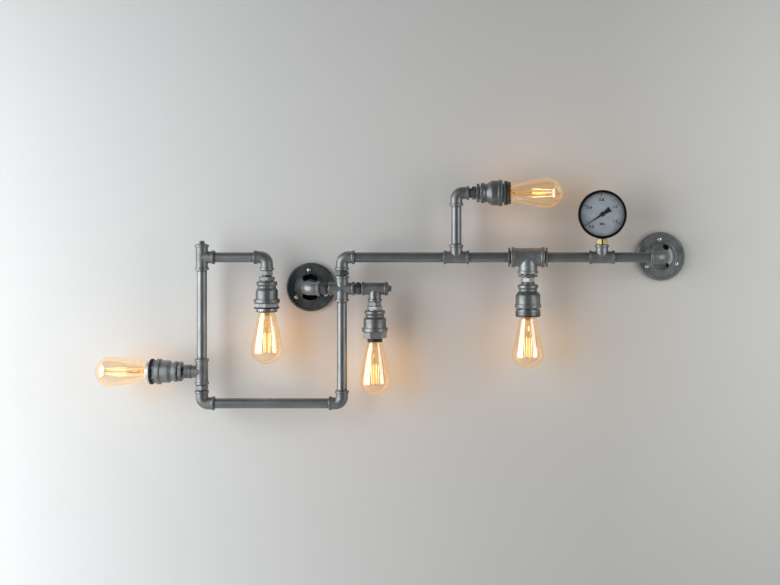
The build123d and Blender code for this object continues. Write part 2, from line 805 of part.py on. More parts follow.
# ---- Fittings of the loop and the main pipe ----
reach, flange_reach = half_inch.reach, flange_half_inch.reach
nodes["junction_cross"] = frame(cross, RIGHT, UP) * straight_fitting(half_inch, (LEFT, RIGHT, UP, DOWN))
nodes["main_elbows"] = [
    elbow_at(half_inch, riser_corner, RIGHT, DOWN),
    elbow_at(half_inch, arm_top, RIGHT, DOWN),
]
nodes["loop_elbows"] = [
    elbow_at(half_inch, loop_outlet, LEFT, DOWN),
    elbow_at(half_inch, loop_bottom_left, RIGHT, UP),
    elbow_at(half_inch, loop_bottom_right, LEFT, UP),
]
nodes["loop_tees"] = [
    tee_at(half_inch, loop_top_left, UP, RIGHT),
    tee_at(half_inch, side_lamp, UP, LEFT),
]
nodes["branch_tees"] = [
    tee_at(half_inch, side_tee, RIGHT, DOWN),
    tee_at(half_inch, arm_foot, RIGHT, UP),
    tee_at(half_inch, gauge_foot, RIGHT, UP),
]
nodes["pendant_tee"] = tee_at(one_inch, pendant, RIGHT, DOWN)

# ---- Pipes, from the face of one fitting to the face of the next ----
pendant_reach = one_inch.reach + tee_bushing_width
pipe_runs = {
    "loop_top_pipe": (loop_top_left, RIGHT, reach, loop_outlet, reach),
    "loop_left_pipe": (loop_top_left, DOWN, reach, side_lamp, reach),
    "loop_bottom_pipe": (loop_bottom_left, RIGHT, reach, loop_bottom_right, reach),
    "loop_right_pipe": (loop_bottom_right, UP, reach, cross, reach),
    "main_left_pipe": (riser_corner, RIGHT, reach, arm_foot, reach),
    "main_middle_pipe": (arm_foot, RIGHT, reach, pendant, pendant_reach),
    "main_right_pipe": (pendant, RIGHT, pendant_reach, gauge_foot, reach),
    "right_flange_pipe": (gauge_foot, RIGHT, reach, right_corner, flange_reach),
    "upper_arm_pipe": (arm_foot, UP, reach, arm_top, reach),
}
for name, (first, way, first_reach, last, last_reach) in pipe_runs.items():
    nodes[name] = pipe_between(point(first, way, first_reach), point(last, way, -last_reach))

# ---- Lamp holders: outlet face, direction, nipple gap and the rings of the mouth ----
holders = [
    Holder(loop_outlet, DOWN, reach, 14.2, -1.2, (31.0, 9.6), (46.0, 46.0, 21.0), ("hex", 46.0, 8.0)),
    Holder(side_lamp, LEFT, reach, 13.7, -2.0, (36.0, 9.6), (47.5, 44.6, 18.5), ("hex", 41.6, 8.2)),
    Holder(side_tee, DOWN, reach, 10.2, 0.0, (29.0, 8.6), (47.5, 45.6, 19.5), ("hex", 43.0, 12.7)),
    Holder(arm_top, RIGHT, reach, 16.0, 2.2, (34.5, 8.2), (52.4, 46.6, 26.0), ("stepped", 51.4, 6.3)),
    Holder(pendant, DOWN, pendant_reach, 11.2, 0.0, (28.0, 4.6), (52.5, 50.0, 24.0), ("stepped", 51.5, 7.2)),
]
gasket_sizes = {1: (53.0, 2.8), 2: (54.0, 3.8), 4: (51.6, 3.4)}  # diameter and thickness
lock_ring_sizes = {1: (44.5, 7.4), 2: (48.0, 8.2), 4: (47.8, 7.2), 5: (53.0, 10.5)}  # diameter and length
collar_turns = {1: 24.0, 2: 0.0, 3: -11.5, 4: 0.0, 5: 0.0}  # how far each was screwed in, in degrees
nipple_turn, bushing_turn = 19.0, 12.0
lip = 7.6  # insert beyond the hexagon collar of a holder with no lock ring

hex_nipples, bushings, collars, gaskets, lock_rings, inserts, shells = [], [], [], [], [], [], []
for number, holder in enumerate(holders, 1):
    way = holder.way
    face = point(holder.fitting, way, holder.reach)
    hex_nipples.append(nipple_between(face, way, holder.gap, holder.nipple_shift, nipple_turn))
    bushing_face = point(face, way, holder.gap)
    bushings.append(placed(hex_bushing(*holder.bushing), bushing_face, way, bushing_turn))
    start = point(bushing_face, way, holder.bushing[1])
    nodes[f"lamp_holder_{number}"] = placed(reducer(*holder.body), start, way, 12)
    kind, collar_od, collar_width = holder.collar
    front = holder.body[1]
    mouth = point(start, way, front)
    collars.append(placed(collar(kind, collar_od, collar_width), mouth, way, collar_turns[number]))
    front += collar_width
    if number in gasket_sizes:
        gasket_od, thickness = gasket_sizes[number]
        ring = tube(gasket_od, insert_od + 2 * thread_fit, 0, thickness)
        gaskets.append(placed(ring, point(start, way, front), way))
        front += thickness
    if number in lock_ring_sizes:
        ring_od, ring_length = lock_ring_sizes[number]
        lock_rings.append(placed(lock_ring(ring_od, ring_length), point(start, way, front), way))
        front += ring_length - insert_recess
    else:
        front += lip
    insert_front = point(start, way, front)
    inserts.append(placed(socket_insert(), insert_front, way, 30))
    shells += [placed(piece, insert_front, way) for piece in socket_shell()]
    bulb_tip = point(insert_front, way, rim_height - cap_seat)
    back_way = tuple(-w for w in way)
    nodes[f"bulb_{number}_glass"] = placed(bulb_glass(), bulb_tip, back_way)
    nodes[f"bulb_{number}_cap"] = placed(bulb_cap(), bulb_tip, back_way)
    nodes[f"bulb_{number}_filaments"] = placed(bulb_mount(), bulb_tip, back_way, 25 * number)
    nodes[f"bulb_{number}_contact"] = [placed(piece, bulb_tip, back_way) for piece in bulb_contact()]

# ---- Nipples between fittings, bushings of the large tee and plugs ----
hex_joints = [
    (side_lamp, DOWN, reach, loop_bottom_left),
    (left_corner, RIGHT, flange_reach, cross),
    (cross, RIGHT, reach, side_tee),
    (cross, UP, reach, riser_corner),
]
for first, way, first_reach, last in hex_joints:
    gap = (Vector(*last) - Vector(*first)).length - first_reach - reach
    hex_nipples.append(nipple_between(point(first, way, first_reach), way, gap, 0, nipple_turn))
flange_hubs = [(0, -flange_height, 0), (cross_offset + right_flange_offset, -flange_height, main_height)]
nodes["flange_nipples"] = [
    placed(screwed_tube(-engagement, flange_nipple_gap + engagement), hub, FRONT) for hub in flange_hubs
]
nodes["hex_nipples"] = hex_nipples
for way in (LEFT, RIGHT, DOWN):
    inward = tuple(-w for w in way)
    plate = hex_bushing(tee_bushing_hex, tee_bushing_width)
    bushings.append(placed(plate, point(pendant, way, pendant_reach), inward, bushing_turn))
nodes["reducing_bushings"] = bushings
nodes["square_head_plugs"] = [
    placed(square_plug(), point(loop_top_left, UP, reach), UP, 20),
    placed(square_plug(), point(side_tee, RIGHT, reach), RIGHT, 20),
]
nodes["socket_collars"] = collars
nodes["insulating_washers"] = gaskets
nodes["lock_rings"] = lock_rings
nodes["socket_inserts"] = inserts
nodes["socket_contacts"] = shells

# ---- Pressure gauge ----
gauge_frame = frame(gauge_centre, RIGHT, FRONT)
nodes["gauge_case"] = gauge_frame * gauge_case()
nodes["gauge_bezel"] = gauge_frame * gauge_bezel()
nodes["gauge_window"] = gauge_frame * gauge_window()
nodes["gauge_dial"] = gauge_frame * gauge_dial()
nodes["gauge_pointer"] = gauge_frame * gauge_pointer()
nodes["gauge_movement"] = [gauge_frame * piece for piece in gauge_movement()]
nodes["sector_gear"] = gauge_frame * Pos(0, -gear_distance, 0) * sector_gear()
nodes["gauge_stem"] = placed(gauge_stem(reach, gauge_height), point(gauge_foot, UP, reach), UP)


def export_nodes():
    """Writes each node as one STEP file."""
    os.makedirs("parts", exist_ok=True)
    for name, shape in nodes.items():
        pieces = shape if isinstance(shape, list) else [shape]
        solids = [solid for piece in pieces for solid in piece.solids()]
        whole = solids[0] if len(solids) == 1 else Compound(children=solids)
        export_step(whole, f"parts/{name}.step")


export_nodes()
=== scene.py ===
import math

import bmesh
import bpy
from mathutils import Matrix, Vector
from mathutils.geometry import interpolate_bezier


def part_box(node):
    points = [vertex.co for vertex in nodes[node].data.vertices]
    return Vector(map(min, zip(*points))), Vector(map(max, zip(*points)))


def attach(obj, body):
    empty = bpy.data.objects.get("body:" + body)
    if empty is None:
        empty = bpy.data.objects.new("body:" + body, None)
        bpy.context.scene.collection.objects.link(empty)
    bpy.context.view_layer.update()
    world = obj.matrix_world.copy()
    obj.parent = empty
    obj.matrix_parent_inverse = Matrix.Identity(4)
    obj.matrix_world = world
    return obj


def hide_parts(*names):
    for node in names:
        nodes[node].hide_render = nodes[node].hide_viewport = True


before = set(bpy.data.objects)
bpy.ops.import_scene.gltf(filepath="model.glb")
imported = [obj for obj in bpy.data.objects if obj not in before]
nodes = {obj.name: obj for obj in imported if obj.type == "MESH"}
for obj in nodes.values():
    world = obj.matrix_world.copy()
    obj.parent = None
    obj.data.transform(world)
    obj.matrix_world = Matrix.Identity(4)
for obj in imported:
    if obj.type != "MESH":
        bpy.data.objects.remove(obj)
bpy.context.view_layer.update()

# Industrial pipe wall light: sealed grey castings and pipe, amber filament bulbs that are lit, and a
# dial gauge, on a pale wall. Metres, X to the right along the wall, Y into the wall, Z up.
# Profiles and small sizes are written in millimetres and scaled where a mesh is made.

MM = 0.001
INCH = 25.4
LEFT, RIGHT, UP, DOWN, FRONT = (
    Vector(way) for way in ((-1, 0, 0), (1, 0, 0), (0, 0, 1), (0, 0, -1), (0, -1, 0))
)

# ---- Lines of the pipework, in millimetres from the middle of the left flange's back ----
X, Y, Z = range(3)


def centre_line(name, axis):
    """Where the middle of a CAD node's box lies along an axis, to a tenth of a millimetre."""
    low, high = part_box(name)
    return round((low[axis] + high[axis]) / 2 / MM, 1)


PIPE_DEPTH = centre_line("main_left_pipe", Y)  # the plane that all the pipes lie in
MAIN_ROW = centre_line("main_left_pipe", Z)  # height of the main pipe and of the loop's top
LOOP_LEFT, LOOP_RIGHT = centre_line("loop_left_pipe", X), centre_line("loop_right_pipe", X)
LOOP_BOTTOM = centre_line("loop_bottom_pipe", Z)
SIDE_TEE, ARM = centre_line("lamp_holder_3", X), centre_line("upper_arm_pipe", X)
FLANGE_CENTRES = [
    Vector((centre_line(flange, X), 0, centre_line(flange, Z)))
    for flange in ("left_wall_flange", "right_wall_flange")
]
REACH = 27.0  # from a fitting's centre to the faces that its pipes enter
PENDANT_REACH = 41.5  # the same for the large tee, with its bushing
FLANGE_HUB = -24.0  # front of a flange's hub
FLANGE_ELBOW = -35.0  # back of the elbow in front of it
FLANGE_ELBOW_SIDE = 28.0  # side of that elbow, from its flange's axis

LAMP_WAYS = {1: DOWN, 2: LEFT, 3: DOWN, 4: RIGHT, 5: DOWN}
LAMP_OUTLETS = {  # the face that each lamp is screwed into
    1: (centre_line("lamp_holder_1", X), PIPE_DEPTH, MAIN_ROW - REACH),
    2: (LOOP_LEFT - REACH, PIPE_DEPTH, centre_line("lamp_holder_2", Z)),
    3: (SIDE_TEE, PIPE_DEPTH, -REACH),
    4: (ARM + REACH, PIPE_DEPTH, centre_line("lamp_holder_4", Z)),
    5: (centre_line("lamp_holder_5", X), PIPE_DEPTH, MAIN_ROW - PENDANT_REACH),
}
NIPPLE_LENGTHS = {1: 14.2, 2: 13.7, 3: 10.2, 4: 16.0, 5: 11.2}


def on_lamp(number, distance):
    """Point in metres on a lamp's axis, a distance in millimetres from the face it is screwed into."""
    return (Vector(LAMP_OUTLETS[number]) + LAMP_WAYS[number] * distance) * MM


# ---- Camera: far from the wall and square to it, with the photograph's off-centre framing ----
PHOTO_WIDTH, PHOTO_HEIGHT = 780, 585
PIXEL = 2.11 * MM  # size of one pixel of the photograph in the plane of the pipes
PIPE_PLANE = PIPE_DEPTH * MM
FLANGE_COLUMN, FLANGE_ROW = 306.4, 288.6  # the left flange's axis in the photograph
AXIS_COLUMN, AXIS_ROW = 520.0, 214.0  # where the camera's axis meets the photograph
CAMERA_DISTANCE = 2.8
SENSOR = 36.0


def add_camera():
    """Camera square to the wall, shifted so that the picture is framed as the photograph is."""
    data = bpy.data.cameras.new("camera")
    camera = bpy.data.objects.new("camera", data)
    bpy.context.scene.collection.objects.link(camera)
    camera.location = (
        (AXIS_COLUMN - FLANGE_COLUMN) * PIXEL,
        -CAMERA_DISTANCE,
        (FLANGE_ROW - AXIS_ROW) * PIXEL,
    )
    camera.rotation_euler = (math.radians(90), 0, 0)
    data.sensor_width = SENSOR
    data.lens = SENSOR * (CAMERA_DISTANCE + PIPE_PLANE) / (PIXEL * PHOTO_WIDTH)
    data.shift_x = (PHOTO_WIDTH / 2 - AXIS_COLUMN) / PHOTO_WIDTH
    data.shift_y = (AXIS_ROW - PHOTO_HEIGHT / 2) / PHOTO_WIDTH
    bpy.context.scene.camera = camera


# ---- Mesh helpers ----
def axis_frame(origin, way, spin=0.0):
    """Matrix that takes +Z to the direction way and the origin to a point."""
    turn = Vector(way).to_track_quat("Z", "Y").to_matrix().to_4x4()
    return Matrix.Translation(origin) @ turn @ Matrix.Rotation(spin, 4, "Z")


def upright_frame(origin):
    """Matrix that stands a flat drawing up at a point, seen from the front."""
    return Matrix.Translation(origin) @ Matrix.Rotation(math.radians(90), 4, "X")


def moved(bm, matrix):
    """The same bmesh, taken to its place by a matrix."""
    bmesh.ops.transform(bm, matrix=matrix, verts=bm.verts)
    return bm


def outline(profile, closed=False):
    """Bmesh with the edges that join (radius, height) points in millimetres."""
    bm = bmesh.new()
    points = [bm.verts.new((r * MM, 0, z * MM)) for r, z in profile]
    pairs = list(zip(points, points[1:] + points[:1]))
    for pair in pairs if closed else pairs[:-1]:
        bm.edges.new(pair)
    return bm


def spun(bm, angle, steps, rise=0.0, merge=False):
    """The same bmesh, its edges swept about Z by an angle, and up by a rise in metres at each step."""
    bmesh.ops.spin(
        bm, geom=bm.verts[:] + bm.edges[:], cent=(0, 0, 0), axis=(0, 0, 1), angle=angle, steps=steps,
        dvec=(0, 0, rise), use_merge=merge,
    )
    return bm


def capped(bm):
    """The same bmesh, with a face over each open end."""
    bmesh.ops.holes_fill(bm, edges=[e for e in bm.edges if e.is_boundary])
    return bm


def lathe(profile, steps=96, closed=False):
    """Surface of revolution about Z."""
    bm = spun(outline(profile, closed), 2 * math.pi, steps, merge=True)
    bmesh.ops.remove_doubles(bm, verts=bm.verts, dist=1e-6)
    bmesh.ops.dissolve_degenerate(bm, edges=bm.edges, dist=1e-7)
    return bm


def screw_ridge(root, crest, pitch, length, steps=40):
    """Helical ridge about Z from zero to a length, for a screw thread."""
    half = 0.42 * pitch
    flank = 0.62 * half
    ridge = outline([(root, 0), (crest, flank), (crest, 2 * half - flank), (root, 2 * half)], closed=True)
    turns = max(0.5, (length - 2 * half) / pitch)
    count = round(turns * steps)
    return capped(spun(ridge, 2 * math.pi * count / steps, count, pitch * MM / steps))


def curve(*controls, count=14):
    """Points in millimetres along one cubic curve, from its four control points."""
    handles = [Vector((r, 0, z)) for r, z in controls]
    return [(p.x, p.z) for p in interpolate_bezier(*handles, count)]


def block(size, centre):
    """Box in millimetres about a centre."""
    bm = bmesh.new()
    bmesh.ops.create_cube(bm, size=1)
    bmesh.ops.scale(bm, vec=[side * MM for side in size], verts=bm.verts)
    return moved(bm, Matrix.Translation([c * MM for c in centre]))


def rod(start, end, diameter, steps=14):
    """Round-ended bar between two points in millimetres."""
    start, end, r = Vector(start), Vector(end), diameter / 2
    length = (end - start).length
    ends = [(0, 0), (0.7 * r, 0.3 * r), (r, r), (r, length - r), (0.7 * r, length - 0.3 * r), (0, length)]
    return moved(lathe(ends, steps), axis_frame(start * MM, end - start))


def joined(parts):
    """One bmesh from several, which are used up."""
    whole = bmesh.new()
    for part in parts:
        mesh = bpy.data.meshes.new("part")
        part.to_mesh(mesh)
        part.free()
        whole.from_mesh(mesh)
        bpy.data.meshes.remove(mesh)
    return whole


def cut_out(body, cutter):
    """Body with the cutter's shape taken out of it."""
    pair = []
    for bm in (body, cutter):
        bmesh.ops.recalc_face_normals(bm, faces=bm.faces)
        mesh = bpy.data.meshes.new("blank")
        bm.to_mesh(mesh)
        bm.free()
        pair.append(bpy.data.objects.new("blank", mesh))
        bpy.context.scene.collection.objects.link(pair[-1])
    modifier = pair[0].modifiers.new("cut", "BOOLEAN")
    modifier.object = pair[1]
    modifier.solver = "EXACT"
    result = bmesh.new()
    result.from_mesh(pair[0].evaluated_get(bpy.context.evaluated_depsgraph_get()).to_mesh())
    for obj in pair:
        bpy.data.objects.remove(obj)
    return result


def piece(name, bm, material, matrix=None, body="fixture", sharp=35):
    """Finished mesh object in the frame, smooth but for edges sharper than an angle in degrees."""
    if matrix:
        bmesh.ops.transform(bm, matrix=matrix, verts=bm.verts)
    bmesh.ops.recalc_face_normals(bm, faces=bm.faces)
    mesh = bpy.data.meshes.new(name)
    bm.to_mesh(mesh)
    bm.free()
    mesh.polygons.foreach_set("use_smooth", [True] * len(mesh.polygons))
    mesh.set_sharp_from_angle(angle=math.radians(sharp))
    mesh.materials.append(material)
    obj = bpy.data.objects.new(name, mesh)
    bpy.context.scene.collection.objects.link(obj)
    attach(obj, body)
    return obj


# ---- Material helpers ----
MOTTLED = (0.35, 0.65)  # noise values between which a finish goes from one tone to the other


class Finish:
    """One node material, with short calls for the nodes that the finishes share."""

    def __init__(self, name):
        self.material = bpy.data.materials.new(name)
        self.material.use_nodes = True
        self.tree = self.material.node_tree
        self.shader = self.tree.nodes["Principled BSDF"]
        self.place = self.tree.nodes.new("ShaderNodeTexCoord").outputs["Object"]

    def put(self, socket, value):
        """Link a socket's value into another socket, or set a plain value on it."""
        if isinstance(value, bpy.types.NodeSocket):
            self.tree.links.new(value, socket)
        else:
            socket.default_value = value

    def node(self, kind, **sockets):
        """New node with values for some of its inputs, whose spaces are written as underscores."""
        made = self.tree.nodes.new(kind)
        for key, value in sockets.items():
            self.put(made.inputs[key.replace("_", " ")], value)
        return made

    def set(self, **sockets):
        """Values for inputs of the main shader."""
        for key, value in sockets.items():
            self.put(self.shader.inputs[key.replace("_", " ")], value)

    def noise(self, scale, detail=4.0, rough=0.55):
        """Cloudy noise over the object's own coordinates."""
        return self.node(
            "ShaderNodeTexNoise", Vector=self.place, Scale=scale, Detail=detail, Roughness=rough
        ).outputs["Fac"]

    def ramp(self, value, *stops):
        """Tones, or plain numbers, that a value runs through."""
        made = self.node("ShaderNodeValToRGB", Fac=value)
        marks = made.color_ramp.elements
        while len(marks) < len(stops):
            marks.new(0.5)
        for mark, (at, tone) in zip(marks, stops):
            mark.position = at
            mark.color = (*tone, 1) if isinstance(tone, tuple) else (tone, tone, tone, 1)
        return made.outputs["Color"]

    def uneven(self, scale, low, high, at=(0.3, 0.7), detail=4.0, rough=0.55):
        """Value that wanders between two limits, while the noise goes between the two values at."""
        return self.ramp(self.noise(scale, detail, rough), (at[0], low), (at[1], high))

    def blend(self, fac, first, second, kind="MIX"):
        """Two colours put together by a share."""
        made = self.tree.nodes.new("ShaderNodeMix")
        made.data_type = "RGBA"
        made.blend_type = kind
        for at, value in ((0, fac), (6, first), (7, second)):
            self.put(made.inputs[at], value if not isinstance(value, tuple) else (*value, 1))
        return made.outputs[2]

    def calculated(self, kind, operation, first, second):
        """Outputs of a node that works out one operation on two inputs."""
        made = self.tree.nodes.new(kind)
        made.operation = operation
        self.put(made.inputs[0], first)
        self.put(made.inputs[1], second)
        return made.outputs

    def maths(self, operation, first, second):
        """Number worked out from two."""
        return self.calculated("ShaderNodeMath", operation, first, second)[0]

    def bump(self, height, strength, distance, under=None):
        """Normal that follows a height in millimetres, over another normal if one is given."""
        made = self.node("ShaderNodeBump", Height=height, Strength=strength, Distance=distance * MM)
        if under:
            self.put(made.inputs["Normal"], under)
        return made.outputs["Normal"]

    def within(self, centre, radius):
        """One inside a ball about a point, zero outside it."""
        gap = self.calculated("ShaderNodeVectorMath", "DISTANCE", self.place, centre)["Value"]
        return self.maths("LESS_THAN", gap, radius)

    def within_bar(self, centre, radius, along):
        """One inside a round bar through a point along an axis, zero outside it."""
        across = [0.0 if abs(way) > 0.5 else 1.0 for way in along]
        flat = self.calculated("ShaderNodeVectorMath", "MULTIPLY", self.place, across)["Vector"]
        middle = [c * a for c, a in zip(centre, across)]
        gap = self.calculated("ShaderNodeVectorMath", "DISTANCE", flat, middle)["Value"]
        return self.maths("LESS_THAN", gap, radius)

    def soft_edges(self, radius):
        """Normal that rounds the edges by a radius in millimetres."""
        made = self.node("ShaderNodeBevel", Radius=radius * MM)
        made.samples = 4
        return made.outputs["Normal"]

    def edge_wear(self, rounded):
        """How far the rounded normal leaves the flat one: high along edges, zero on faces."""
        flat = self.tree.nodes.new("ShaderNodeNewGeometry").outputs["Normal"]
        match = self.calculated("ShaderNodeVectorMath", "DOT_PRODUCT", rounded, flat)["Value"]
        return self.maths("SUBTRACT", 1.0, match)

    def let_through(self, share, tint=(1, 1, 1)):
        """Open the surface to a share of the rays, which take on a tint."""
        clear = self.node("ShaderNodeBsdfTransparent", Color=(*tint, 1))
        mix = self.node("ShaderNodeMixShader", Fac=share)
        self.put(mix.inputs[1], self.shader.outputs["BSDF"])
        self.put(mix.inputs[2], clear.outputs["BSDF"])
        self.put(self.tree.nodes["Material Output"].inputs["Surface"], mix.outputs["Shader"])


def grey(value, cool=0.055):
    """Metal tone with a slight cool cast."""
    return (value * (1 - cool), value, value * (1 + 0.4 * cool))


def cast_finish(name, dark, light, edge, roughness=0.4, metal=0.85, accents=(), cool=0.055):
    """Sand-cast fitting under a thin seal: mottled tone, fine grain, brighter worn edges."""
    f = Finish(name)
    cloud = f.uneven(38.0, 0.0, 1.0, (0.36, 0.66), 6.0, 0.6)
    tone = f.blend(cloud, grey(dark, cool), grey(light, cool))
    for centre, radius, accent in accents:
        tone = f.blend(f.within(centre, radius), tone, accent)
    specks = f.uneven(430.0, 0.66, 1.0, (0.36, 0.6), 3.0)
    tone = f.blend(0.85, tone, specks, "MULTIPLY")
    rounded = f.soft_edges(0.9)
    wear = f.ramp(f.edge_wear(rounded), (0.01, 0.0), (0.12, 1.0))
    patches = f.uneven(90.0, 0.25, 0.9, (0.35, 0.6))
    tone = f.blend(f.maths("MULTIPLY", wear, patches), tone, grey(edge))
    grain = f.bump(f.noise(900.0, 6.0, 0.7), 0.3, 0.4, rounded)
    lumps = f.bump(f.noise(130.0, 3.0), 0.3, 0.9, grain)
    rough = f.uneven(60.0, roughness - 0.06, roughness + 0.08)
    f.set(Base_Color=tone, Metallic=metal, Roughness=rough, Normal=lumps)
    return f.material


def pipe_finish(name, dark, light, roughness):
    """Drawn pipe under clear lacquer: soft stains, fine specks and a faint grain."""
    f = Finish(name)
    stains = f.uneven(18.0, 0.0, 1.0, (0.35, 0.66), 5.0)
    specks = f.uneven(520.0, 0.82, 1.0, (0.4, 0.6), 2.0)
    tone = f.blend(0.6, f.blend(stains, grey(dark), grey(light)), specks, "MULTIPLY")
    grain = f.bump(f.noise(700.0, 4.0, 0.6), 0.1, 0.3, f.soft_edges(0.3))
    rough = f.uneven(44.0, roughness - 0.04, roughness + 0.06)
    f.set(Base_Color=tone, Metallic=0.9, Roughness=rough, Normal=grain)
    return f.material


def plain_finish(name, tone, roughness, metal=0.0, grain=0.1, gloss=0.5):
    """Even finish with a fine grain, for plastic, enamel, turned metal and the floor."""
    f = Finish(name)
    lighter = tuple(min(1.0, 1.25 * c) for c in tone)
    f.set(
        Base_Color=f.blend(f.uneven(60.0, 0.0, 1.0, MOTTLED), tone, lighter),
        Metallic=metal,
        Roughness=f.uneven(150.0, roughness - 0.04, roughness + 0.06),
        Normal=f.bump(f.noise(800.0), grain, 0.3, f.soft_edges(0.4)),
        Specular_IOR_Level=gloss,
    )
    return f.material


def ring_finish(name, dark, light, tones, slots, slot_shade):
    """Turned alloy of the lock rings, two in darker tones of their own and one painted near white as a
    highlight, with painted shade in their slots.
    """
    f = Finish(name)
    tone = f.blend(f.uneven(60.0, 0.0, 1.0, MOTTLED), dark, light)
    for centre, radius, accent in tones:
        tone = f.blend(f.within(centre, radius), tone, accent)
    # painted shade: the slots of the rings are darkened to near black, for the shade inside them
    for centre, radius, slot_radius, way in slots:
        slot_shaded = f.maths("MULTIPLY", f.within(centre, radius), f.within_bar(centre, slot_radius, way))
        tone = f.blend(slot_shaded, tone, slot_shade)
    f.set(
        Base_Color=tone,
        Metallic=0.85,
        Roughness=f.uneven(150.0, 0.36, 0.46),
        Normal=f.bump(f.noise(800.0), 0.1, 0.3, f.soft_edges(0.3)),
    )
    return f.material


def brass_finish(name, dark, light, dark_edge_and_shade, stem_corner, shade_streak):
    """Machined brass, darkened along its edges, with painted shade in a dark band down the gauge stem's
    front corner, between two lit facets.
    """
    f = Finish(name)
    rounded = f.soft_edges(0.7)
    tone = f.blend(f.uneven(70.0, 0.0, 1.0, MOTTLED), dark, light)
    tone = f.blend(f.ramp(f.edge_wear(rounded), (0.004, 0.0), (0.05, 1.0)), tone, dark_edge_and_shade)
    # painted shade: a dark band down the stem's front corner, between its two lit facets
    tone = f.blend(f.within_bar(stem_corner, shade_streak, UP), tone, dark_edge_and_shade)
    f.set(
        Base_Color=tone,
        Metallic=1.0,
        Roughness=f.uneven(150.0, 0.3, 0.4),
        Normal=f.bump(f.noise(600.0), 0.15, 0.3, rounded),
    )
    return f.material


def glass_finish(name, tint, ior=1.5, roughness=0.0, waves=0.0):
    """Clear or tinted glass that lets light through to what is behind it, with faint waves."""
    f = Finish(name)
    f.set(Base_Color=(*tint, 1), Roughness=roughness, IOR=ior, Transmission_Weight=1.0)
    if waves:
        f.set(Normal=f.bump(f.noise(55.0, 2.0), waves, 0.8))
    return f


def shadow_rays(f):
    """One for the rays that only look for a lamp, which glass would otherwise stop."""
    return f.tree.nodes.new("ShaderNodeLightPath").outputs["Is Shadow Ray"]


def window_finish(name, tint):
    """Flat glass before the dial."""
    f = glass_finish(name, tint)
    f.let_through(shadow_rays(f), tint)
    return f.material


def stem_finish(name, tint, glow_tone, glow):
    """Slightly milky glass that holds some of the filaments' light."""
    f = glass_finish(name, tint, roughness=0.15, waves=0.1)
    f.set(Emission_Color=(*glow_tone, 1), Emission_Strength=glow)
    f.let_through(shadow_rays(f), tint)
    return f.material


def amber_finish(name, tint, rim_tint, glow_tone, rim_glow_tone, glow):
    """Blown glass under an amber film, which shows most at the rims of the bulb, with a painted glow,
    strongest at the rims, for the filaments' light caught in the glass.
    """
    f = glass_finish(name, tint, ior=2.0, waves=0.05)
    facing = f.node("ShaderNodeLayerWeight", Blend=0.5).outputs["Facing"]
    rim = f.ramp(facing, (0.12, 0.0), (0.5, 1.0))
    # painted glow: the glass gives off light of its own, most at its rims
    f.set(
        Base_Color=f.blend(rim, tint, rim_tint),
        Emission_Color=f.blend(rim, glow_tone, rim_glow_tone),
        Emission_Strength=glow,
    )
    f.let_through(shadow_rays(f), rim_tint)
    return f.material


def glow_finish(name, tone, strength):
    """Lit filament, whose glow varies a little along it."""
    f = Finish(name)
    heat = f.uneven(220.0, tuple(0.82 * c for c in tone), tone, MOTTLED, 2.0)
    f.set(Base_Color=(*tone, 1), Roughness=0.5, Emission_Color=heat, Emission_Strength=strength)
    return f.material


# ---- Finishes of this light ----
LAMP_3_BUSHING, LAMP_3_COLLAR = on_lamp(3, 14.5), on_lamp(3, 62.5)
LAMP_5_NIPPLE = on_lamp(5, NIPPLE_LENGTHS[5] / 2)
RING_DISTANCES = {1: 92.7, 2: 84.0, 4: 84.1, 5: 78.2}  # from the face that a lamp is screwed into
RINGS = {number: on_lamp(number, distance) for number, distance in RING_DISTANCES.items()}
# The ring of lamp 2 is painted near white, a painted highlight from the light at the left; the rings of
# lamps 4 and 5 have darker tones of their own.
RING_TONES = (  # centre, radius of the ball about it, tone
    (RINGS[2], 30 * MM, (0.85, 0.85, 0.83)),
    (RINGS[4], 30 * MM, (0.2, 0.18, 0.16)),
    (RINGS[5], 32 * MM, (0.16, 0.165, 0.17)),
)
RING_SLOTS = (  # centre, radius of the ball about it, radius under which a slot is painted with shade, way of the lamp
    (RINGS[1], 35 * MM, 21.8 * MM, DOWN),
    (RINGS[4], 35 * MM, 23.4 * MM, RIGHT),
    (RINGS[5], 35 * MM, 26.0 * MM, DOWN),
)
STEM_HEXAGON = 13.2  # from its axis to its corners
STEM_CORNER = (centre_line("gauge_stem", X) * MM, (PIPE_DEPTH - STEM_HEXAGON) * MM, 0.0)  # at the front

cast_grey = cast_finish("cast_grey", 0.22, 0.33, 0.5, 0.43)
holder_grey = cast_finish("holder_grey", 0.21, 0.32, 0.52, 0.42)
# A lighter copy of the cast finish, painted light: on the flange elbows, the large tee and the holder of
# lamp 2.
cast_light = cast_finish("cast_light", 0.28, 0.4, 0.58, 0.44)
# The left flange gets a darker copy of the cast finish, a painted shade.
flange_dark = cast_finish("flange_dark", 0.1, 0.17, 0.4, 0.4, cool=0.13)
flange_mid = cast_finish("flange_mid", 0.225, 0.34, 0.8, 0.44)
pipe_grey = pipe_finish("pipe_grey", 0.24, 0.31, 0.38)
